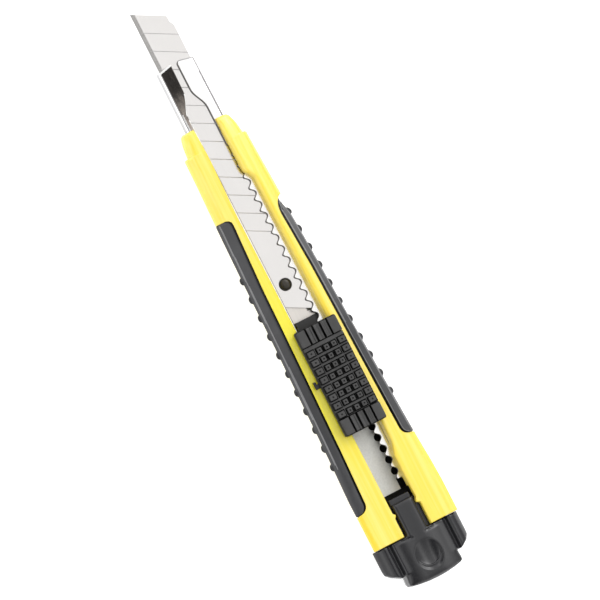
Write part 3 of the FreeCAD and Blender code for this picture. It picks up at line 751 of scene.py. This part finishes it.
def blade_channel():
    scallops = NOTCH_FIRST + NOTCH_PITCH * (np.arange(16 * NOTCH_COUNT + 1) / 16.0 - 0.5)
    rest = steps((CHANNEL_REAR, 26.1, 0.5), (118.9, 129.0, 1.0), (129.0, 136.5, 0.25), (137.0, 142.2, 0.8),
                 (142.4, CHANNEL_FRONT, 0.1))
    lip_start = LIP_START + np.array([-0.01, 0.01, 0.4])
    stations = np.unique(np.round(np.concatenate([scallops, rest, lip_start]), 3))
    stations = stations[np.concatenate([[True], np.diff(stations) > 0.015])]
    rings = np.array([channel_ring(st) for st in stations])
    count, size = rings.shape[:2]

    def paint(centres, normals):
        station, y, z = centres.T
        # Painted shade: the right lip's notched edge takes the dark steel.
        cut = (z > CHANNEL_HIGH - SHEET) & (z < CHANNEL_HIGH - 0.02) & (y < 0.5) & (y > -4.3)
        cut &= normals[:, 2] < 0.93
        # Painted shade: the channel's outer side walls take the grey steel.
        flank = (np.abs(normals[:, 1]) > 0.9) & (np.abs(y) > 4.9)
        row = np.arange(len(centres)) // size
        # Painted shade: the right bend and the right side of the mouth take the dark grey.
        bend = (y < -4.6) & (z > 5.0) & (normals[:, 1] < -0.15)
        bend |= (y < -0.6) & (row > count - RIGHT_MOUTH_ROWS) & (z > CHANNEL_HIGH - 0.05)
        # Painted shade: the floor's top face takes the darker, rougher steel.
        floor = (np.abs(z - CHANNEL_LOW - SHEET) < 0.1) & (normals[:, 2] > 0.7)
        # Painted highlight: the left lip's inner edge and front near the mouth take the pale grey.
        edge = (y > 0.0) & (y < 4.6) & (station > 121.5) & (z > CHANNEL_HIGH - 0.3) & (
            (row > count - LEFT_MOUTH_ROWS) | ((normals[:, 2] < 0.85) & (normals[:, 1] < 0.0)))
        # Painted reflection: the left lip's top near the mouth turns blackish.
        dark = (y > 0.0) & (y < 4.35) & (station > 121.0) & (z > CHANNEL_HIGH - 0.02) & (normals[:, 2] > 0.8)
        return np.select([edge, cut, bend, flank, floor, dark], [5, 1, 6, 2, 3, 4], 0)

    made = piece("channel_strip", *loft(rings), "handle", "stainless_strip",
                 [STRIP, CUT_EDGE_SHADE, STRIP_SIDE_SHADE, STRIP_FLOOR_SHADE, LIP_REFLECTION, EDGE_HIGHLIGHT, BEND_SHADE], ["blade_channel"],
                 paint=paint)
    levels = CHANNEL_LOW - 0.3, CHANNEL_LOW + SHEET + 0.2
    shapes = [lathe([(FLOOR_HOLE_RADIUS, z) for z in levels], NOTCH_FIRST + NOTCH_PITCH * k, FLOOR_HOLE_Y, 24)
              for k in range(NOTCH_COUNT)]
    shapes.append(loft(np.array([[(st, y, z) for st, y in TAIL_CUT] for z in levels])))
    tool = add_object("punch", new_mesh("punch", *joined(shapes)))
    cut = made.modifiers.new("punch", "BOOLEAN")
    cut.object, cut.operation, cut.solver = tool, "DIFFERENCE", "EXACT"
    bpy.context.view_layer.update()
    result = bpy.data.meshes.new_from_object(made.evaluated_get(bpy.context.evaluated_depsgraph_get()))
    made.modifiers.clear()
    made.data = result
    result.set_sharp_from_angle(angle=math.radians(35.0))
    bpy.data.objects.remove(tool)


# ---- end cap

CAP_FRONT, CAP_TOP, CORE_HALF, CORE_WALL_TOP = 12.52, 8.9, 7.45, 7.2
TONGUE_HALF, TONGUE_FRONT = 2.93, 21.0
LOBE_TOP, LOBE_WIDEST, VALLEY_Y, VALLEY_DEPTH, VALLEY_HALF = 8.1, 5.3, 8.0, 1.1, 0.6
DISH_STATION, DISH_RADIUS, DISH_DEPTH, DISH_BALL, DISH_TILT = 6.5, 3.9, 1.25, 8.3, 0.07
BEAD_IN, BEAD_Z, BEAD_RADIUS = 0.75, 8.3, 0.22
# One side of the core's rear and of the lobes, as (station, y) corners. The other side mirrors it.
CORE_REAR = [(1.9, 7.6), (1.05, 7.5), (0.75, 6.8), (0.4, 4.9), (0.1, 2.5)]
LOBE_SIDE = [(CAP_FRONT, 12.1), (7.4, 12.1), (6.2, 11.95), (5.0, 10.75), (4.6, 10.0), (3.75, 8.6)]


def mirrored(side):
    """The corners of one side of an outline in reverse order on the other side."""
    return [(station, -y) for station, y in side[::-1]]


def cap_field(x, y, z):
    """The cap: a crowned core that runs on as the tongue, side lobes, a thumb dish and a plug."""
    a = np.abs(y)
    front = [(CAP_FRONT, CORE_HALF), (3.0, CORE_HALF)]
    outline = CORE_REAR + [(0.0, 0.0)] + mirrored(CORE_REAR) + mirrored(front) + front
    core_plan = polygon_distance(x, y, outline)
    tongue_plan = round_box((x, y), (8.0, -TONGUE_HALF), (TONGUE_FRONT, TONGUE_HALF), 0.5)
    plan = smooth_min(core_plan, tongue_plan, 0.7) + 0.2 * over(4.0, z)
    wall = plan + over(z, CORE_WALL_TOP) * np.where(x < 12.0, 0.45, 0.08)
    top = CAP_TOP - 0.021 * y ** 2 - 0.03 * over(4.0, x) ** 2
    core = smooth_max(smooth_max(wall, z - top, 0.9), 0.3 - z, 0.5)
    lobe_plan = polygon_distance(x, y, LOBE_SIDE + mirrored(LOBE_SIDE))
    lobe_wall = lobe_plan + FLANK_TAPER * over(LOBE_WIDEST, z)
    valley = VALLEY_DEPTH * np.exp(-((a - VALLEY_Y) / VALLEY_HALF) ** 2)
    lobe_top = LOBE_TOP - 0.24 * over(a, 9.0) ** 2 - valley
    lobes = smooth_max(smooth_max(lobe_wall, (z - lobe_top) * 0.85, 0.6), 0.15 - z, 1.2)
    cap = smooth_min(core, lobes, 0.2)
    off = np.hypot(x - DISH_STATION, y)
    tilted = z + DISH_TILT * (DISH_STATION - x) - 0.12
    ball = DISH_BALL - np.sqrt(off ** 2 + (tilted - (CAP_TOP - DISH_DEPTH + DISH_BALL)) ** 2)
    cap = smooth_max(cap, np.maximum(-1.0, ball), 0.14)
    bead = np.hypot(off - DISH_RADIUS + BEAD_IN, z - BEAD_Z) - BEAD_RADIUS
    cap = smooth_min(cap, bead + 0.25 * ramp(x, DISH_STATION - 3.4, DISH_STATION + 0.5), 0.2)
    shelf = round_box((x, y, z), (15.0, -2.9, 2.0), (22.3, 2.9, 7.4), 0.2)
    plug = round_box((x, y, z), (10.0, -8.6, 1.8), (21.0, 8.6, 6.9), 0.4)
    cap = np.minimum(np.minimum(cap, shelf), plug)
    return smooth_max(cap, -round_box((x, y, z), (-3.0, -5.3, 4.2), (7.5, 5.3, 5.4), 0.2), 0.15)


def end_cap():
    net = surface_net(cap_field, (-0.5, -12.7, -0.5), (23.0, 12.7, 10.0), 0.2)
    piece("cap_shell", *net, "cap", "cap_plastic", [CAP], ["end_cap"], sharp=60.0)


# ---- thumb pad

PAD_REAR, PAD_FRONT, PAD_HALF, PAD_LOW = 41.1, 69.9, 5.75, 9.0
PAD_BASE, PAD_GROOVE, PAD_MOAT, PAD_RIB, PAD_STUD = 10.95, 10.1, 10.45, 11.3, 11.5
RIB_START, RIB_END = -0.5, 4.4
ROW_FIRST, ROW_PITCH, ROW_COUNT = 46.75, 2.38, 8
COLUMN_PITCH, BAR_HALF = 2.06, 0.76
STUD_HALF, MOAT_HALF, DIMPLE_HALF, OUTER_LENGTH = 0.64, 0.88, 0.17, 0.72
OUTER_Y, OUTER_HALF, OUTER_MOAT = 4.43, 0.93, 0.24
DIMPLE_LEVEL = PAD_STUD - 0.16
PAD_MIDDLE = (PAD_REAR + PAD_FRONT) / 2
END_GROOVE, SIDE_GROOVE, SIDE_START, BLOCK_MIDDLE = 0.2, 0.2, 3.28, 5.0
WALL = 0.05


def plateau(distance, half):
    """1 within half of zero, 0 outside, with a steep wall between."""
    return np.clip((half + WALL - np.abs(distance)) / (2 * WALL), 0.0, 1.0)


def pad_height(x, y):
    """The pad's top over its plan: bars at both ends, rows of square studs in moats, blocks at the sides."""
    def lay(surface_z, mask, level):
        return surface_z + (level - surface_z) * mask

    a = np.abs(y)
    column = y - np.clip(np.round(y / COLUMN_PITCH), -1, 1) * COLUMN_PITCH
    row = x - ROW_FIRST - ROW_PITCH * np.clip(np.round((x - ROW_FIRST) / ROW_PITCH), 0, ROW_COUNT - 1)
    near_end = np.minimum(x - PAD_REAR, PAD_FRONT - x)
    ends = plateau(near_end - (RIB_START + RIB_END) / 2, (RIB_END - RIB_START) / 2)
    tail = plateau(near_end, RIB_END + END_GROOVE)
    side = plateau(a - BLOCK_MIDDLE, BLOCK_MIDDLE - SIDE_START)
    middle = 1.0 - plateau(a - BLOCK_MIDDLE, BLOCK_MIDDLE - SIDE_START + SIDE_GROOVE)
    height = np.full(np.broadcast(x, y).shape, PAD_BASE)
    height = lay(height, tail, PAD_GROOVE)
    height = lay(height, ends * np.maximum(plateau(column, BAR_HALF) * middle, side), PAD_RIB)
    height = lay(height, ends * plateau(column, 0.24) * middle, PAD_RIB - 0.12)
    rows = 1.0 - tail
    for half, level in ((MOAT_HALF, PAD_MOAT), (STUD_HALF, PAD_STUD), (DIMPLE_HALF, DIMPLE_LEVEL)):
        height = lay(height, rows * plateau(row, half) * plateau(column, half) * middle, level)
    for length, half, level in ((OUTER_LENGTH + OUTER_MOAT, OUTER_HALF + OUTER_MOAT, PAD_MOAT),
                                (OUTER_LENGTH, OUTER_HALF, PAD_STUD),
                                (DIMPLE_HALF, DIMPLE_HALF, DIMPLE_LEVEL)):
        height = lay(height, rows * plateau(row, length) * plateau(a - OUTER_Y, half), level)
    return height


def edge_lines(edges, low, high, fine):
    """Grid lines: one each side of every wall, and others in between."""
    walls = np.concatenate([np.asarray(edges) - WALL, np.asarray(edges) + WALL])
    walls = walls[(walls > low + 0.02) & (walls < high - 0.02)]
    spread = np.arange(low, high, fine)
    clear = np.min(np.abs(spread[:, None] - walls[None, :]), axis=1) > 0.07
    return np.unique(np.round(np.concatenate([[low, high], walls, spread[clear]]), 4))


def thumb_pad():
    rows = ROW_FIRST + ROW_PITCH * np.arange(ROW_COUNT)
    row_edges = [r + s * h for r in rows for s in (-1, 1)
                 for h in (STUD_HALF, MOAT_HALF, DIMPLE_HALF, OUTER_LENGTH, OUTER_LENGTH + OUTER_MOAT)]
    end_edges = [end + s * d for end, s in ((PAD_REAR, 1), (PAD_FRONT, -1))
                 for d in (RIB_START, RIB_END, RIB_END + END_GROOVE)]
    columns = [c * COLUMN_PITCH + s * h for c in (-1, 0, 1) for s in (-1, 1)
               for h in (STUD_HALF, BAR_HALF, DIMPLE_HALF)]
    columns += [s * (SIDE_START - d) for s in (-1, 1) for d in (0.0, SIDE_GROOVE)]
    columns += [s * (OUTER_Y + d) for s in (-1, 1) for h in (OUTER_HALF, OUTER_HALF + OUTER_MOAT, DIMPLE_HALF)
                for d in (-h, h)]
    xs = edge_lines(row_edges + end_edges, PAD_REAR, PAD_FRONT, 0.3)
    ys = edge_lines(columns, -PAD_HALF, PAD_HALF, 0.25)
    x, y = np.meshgrid(xs, ys, indexing="ij")
    height = pad_height(x, y)
    corner = end_round(PAD_HALF - np.abs(y), 0.6)
    to_end = np.minimum(x - PAD_REAR, PAD_FRONT - x)
    squeeze = corner * np.clip(1.0 - to_end / 1.8, 0.0, 1.0)
    x_out = x + np.where(x < PAD_MIDDLE, squeeze, -squeeze)
    rim = np.minimum(PAD_HALF - np.abs(y), to_end)
    height = height - 0.7 * end_round(rim, 0.45)
    top = np.stack([x_out, y, height], axis=-1).reshape(-1, 3)
    index = np.arange(height.size).reshape(height.shape)
    quads = np.stack([index[:-1, :-1], index[1:, :-1], index[1:, 1:], index[:-1, 1:]], axis=-1)
    faces = quads.reshape(-1, 4).tolist()
    loop = np.concatenate([index[:-1, 0], index[-1, :-1], index[:0:-1, -1], index[0, :0:-1]])
    points = [top]
    previous, start = loop, height.size
    for z in (10.0, 9.2, PAD_LOW):
        ring = top[loop]
        ring[:, 2] = z
        if z == PAD_LOW:
            centre = np.array((PAD_MIDDLE, 0.0))
            ring[:, :2] = centre + (ring[:, :2] - centre) * (0.985, 0.96)
        numbers = start + np.arange(len(loop))
        faces += np.stack([previous, numbers, np.roll(numbers, -1), np.roll(previous, -1)], axis=1).tolist()
        points.append(ring)
        previous, start = numbers, start + len(loop)
    faces.append(previous[::-1].tolist())

    def paint(centres, normals):
        x, y, z = centres.T
        # Painted shade: steep walls, the moat floors and the stud dimples take the near-black rubber.
        inside = (np.abs(y) < PAD_HALF - 0.5) & (np.abs(x - PAD_MIDDLE) < 13.6)
        low = inside & (z < PAD_BASE - 0.1)
        dimple = (z > PAD_STUD - 0.3) & (z < PAD_STUD - 0.1) & (normals[:, 2] > 0.9)
        dimple &= np.abs(x - PAD_MIDDLE) < 9.8
        return ((normals[:, 2] < 0.75) & (z > 10.0)) | low | dimple

    piece("pad_rubber", np.concatenate(points), faces, "carriage", "black_pad", [PAD, PAD_SHADE],
          ["thumb_pad"], sharp=40.0, paint=paint)
    net = surface_net(hook_field, (54.5, 4.6, 9.0), (57.3, 7.4, 10.1), 0.08)
    piece("pad_hook", *net, "carriage", "black_pad", [BLOCK], sharp=70.0)


def hook_field(x, y, z):
    """The small hooked tab at the pad's left side."""
    tab = round_box((x, y, z), (54.9, 5.0, 9.2), (56.2, 7.0, 9.9), 0.2)
    hook = round_box((x, y, z), (56.0, 6.3, 9.2), (56.9, 7.0, 9.9), 0.2)
    return smooth_min(tab, hook, 0.2)


# ---- blade pin and carried CAD nodes

PIN_STATION, PIN_Y, DOME_RADIUS, DOME_LOW, DOME_RISE = 81.8, 0.4, 1.32, 5.1, 0.45


def blade_pin():
    turn = np.linspace(0.0, math.pi / 2, 12)[:-1]
    dome = [*zip(DOME_RADIUS * np.cos(turn), DOME_LOW + DOME_RISE * np.sin(turn))]
    profile = [(0.02, 3.55), (1.42, 3.55), (1.5, 3.63), (1.5, 4.0), (0.97, 4.05), (0.97, 4.5), (1.52, 4.52),
               (1.6, 4.6), (1.6, 5.1), (1.55, 5.16), (1.42, 5.16), (1.36, 5.04)] + dome + [(0.02, 5.55)]

    # Painted shade: outside the dome the pin takes the near-black block plastic, standing for the gap round
    # it.
    def paint(centres, normals):
        return np.hypot(centres[:, 0] - PIN_STATION, centres[:, 1] - PIN_Y) > DOME_RADIUS - 0.02

    piece("pin_head", *lathe(profile, PIN_STATION, PIN_Y, 56), "carriage", "dark_steel", [PIN, BLOCK],
          ["blade_pin"], sharp=50.0, paint=paint)


BEVEL_Y = 3.4  # the blade's ground bevel is beyond this


def carry_cad_nodes():
    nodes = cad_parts
    for name, materials, bevel in (("blade", [BLADE, BEVEL, SCORE_SHADE], 0.0), ("carrier_plate", [PLATE], 0.04),
                                   ("slider_block", [BLOCK], 0.15), ("lock_spring", [SPRING], 0.03)):
        mesh = nodes[name].data
        mesh.materials.clear()
        for m in materials:
            mesh.materials.append(m)
        if bevel:
            rounding = nodes[name].modifiers.new("edges", "BEVEL")
            rounding.width = bevel * MM
            rounding.segments = 2
            rounding.limit_method = "ANGLE"
    for polygon in nodes["blade"].data.polygons:
        bevelled = abs(polygon.normal.y) > 0.05 and polygon.center.y > BEVEL_Y * MM
        # Painted shade: the score grooves' sloped walls take the darker grey.
        score_shaded = not bevelled and 0.1 < polygon.normal.z < 0.97
        polygon.material_index = 1 if bevelled else 2 if score_shaded else 0


handle_body()
grips()
blade_channel()
end_cap()
thumb_pad()
blade_pin()
carry_cad_nodes()


# ---- floor, light and camera

TILT, LEAN, ROLL = (math.radians(angle) for angle in (15.63, 0.13, 117.05))
LENS_DISTANCE = 3.0
PIXELS_PER_MM = 4.03
LOOK_OFFSET = (2.22, -1.955)
PICTURE_SIDE, SENSOR = 600.0, 36.0
FLOOR_HALF, FLOOR_Z = 4.0, -0.0002
TARGET_Z = 5.0

view_rotation = Matrix.Rotation(ROLL, 3, "Z") @ Matrix.Rotation(LEAN, 3, "Y") @ Matrix.Rotation(TILT, 3, "X")
to_world = view_rotation.transposed()
target = Vector((0.0, 0.0, TARGET_Z)) * MM
camera_data = bpy.data.cameras.new("camera")
camera_data.sensor_width = SENSOR
camera_data.lens = PIXELS_PER_MM / MM * LENS_DISTANCE / PICTURE_SIDE * SENSOR
camera_data.clip_start, camera_data.clip_end = 0.1, 20.0
camera = add_object("camera", camera_data)
camera.matrix_world = Matrix.Translation(
    target + to_world @ Vector((LOOK_OFFSET[0] * MM, LOOK_OFFSET[1] * MM, LENS_DISTANCE))) @ to_world.to_4x4()
bpy.context.scene.camera = camera


def floor():
    mesh = bpy.data.meshes.new("floor")
    corners = [(x * FLOOR_HALF, y * FLOOR_HALF, FLOOR_Z) for x, y in ((-1, -1), (1, -1), (1, 1), (-1, 1))]
    mesh.from_pydata(corners, [], [(0, 1, 2, 3)])
    paper = bpy.data.materials.new("studio_floor")
    paper.use_nodes = True
    shader = paper.node_tree.nodes["Principled BSDF"]
    for key, value in {"Base Color": (0.5, 0.5, 0.5, 1.0), "Roughness": 0.9, "Specular IOR Level": 0.1,
                       "Emission Color": (1.0, 1.0, 1.0, 1.0), "Emission Strength": 0.85}.items():
        shader.inputs[key].default_value = value
    mesh.materials.append(paper)
    add_object("floor", mesh)


# Light tents: degrees from overhead, positive towards +Y, and how bright that strip of sky is.
SKY_PEAK = 2.4
SKY = [(-90, 0.45), (-62, 0.75), (-42, 1.0), (-36, 2.3), (-28, 2.3), (-23, 1.02), (-6, 1.02), (-3, 2.0),
       (1, 2.0), (5, 0.55), (9, 0.10), (18, 0.06), (24, 0.7), (48, 1.2), (56, 1.9), (66, 1.9), (74, 1.3),
       (90, 1.0)]
SKY_LEAN = 0.45  # how much brighter the tent is ahead of the knife, and darker behind it
LAMP_TOWARDS, LAMP_LEVEL = (0.41, -0.72, 0.56), 6.0
LAMP_CORE, LAMP_RIM = math.cos(math.radians(8.0)), math.cos(math.radians(20.0))


def studio():
    """A long light tent over the knife: strips of white, brighter lamps and one dark gap."""
    world = bpy.data.worlds.new("studio")
    world.use_nodes = True
    scene.world = world
    tree = world.node_tree
    background = tree.nodes["Background"]
    direction = tree.nodes.new("ShaderNodeTexCoord").outputs["Generated"]
    sideways = fit_range(tree, coordinate(tree, direction, "Y"), -1.0, 1.0)
    stops = [((math.sin(math.radians(a)) + 1.0) / 2.0, (level / SKY_PEAK,) * 3) for a, level in SKY]
    tree.links.new(colour_at(tree, sideways, stops), background.inputs["Color"])
    ahead = fit_range(tree, coordinate(tree, direction, "X"), -1.0, 1.0,
                      SKY_PEAK * (1.0 - SKY_LEAN), SKY_PEAK * (1.0 + SKY_LEAN))
    facing = node(tree, "ShaderNodeVectorMath", {0: direction, 1: LAMP_TOWARDS}, operation="DOT_PRODUCT")
    lamp = fit_range(tree, facing.outputs["Value"], LAMP_RIM, LAMP_CORE, 0.0, LAMP_LEVEL)
    tree.links.new(math_node(tree, "ADD", ahead, lamp), background.inputs["Strength"])


floor()
studio()
scene.view_settings.view_transform = "Standard"
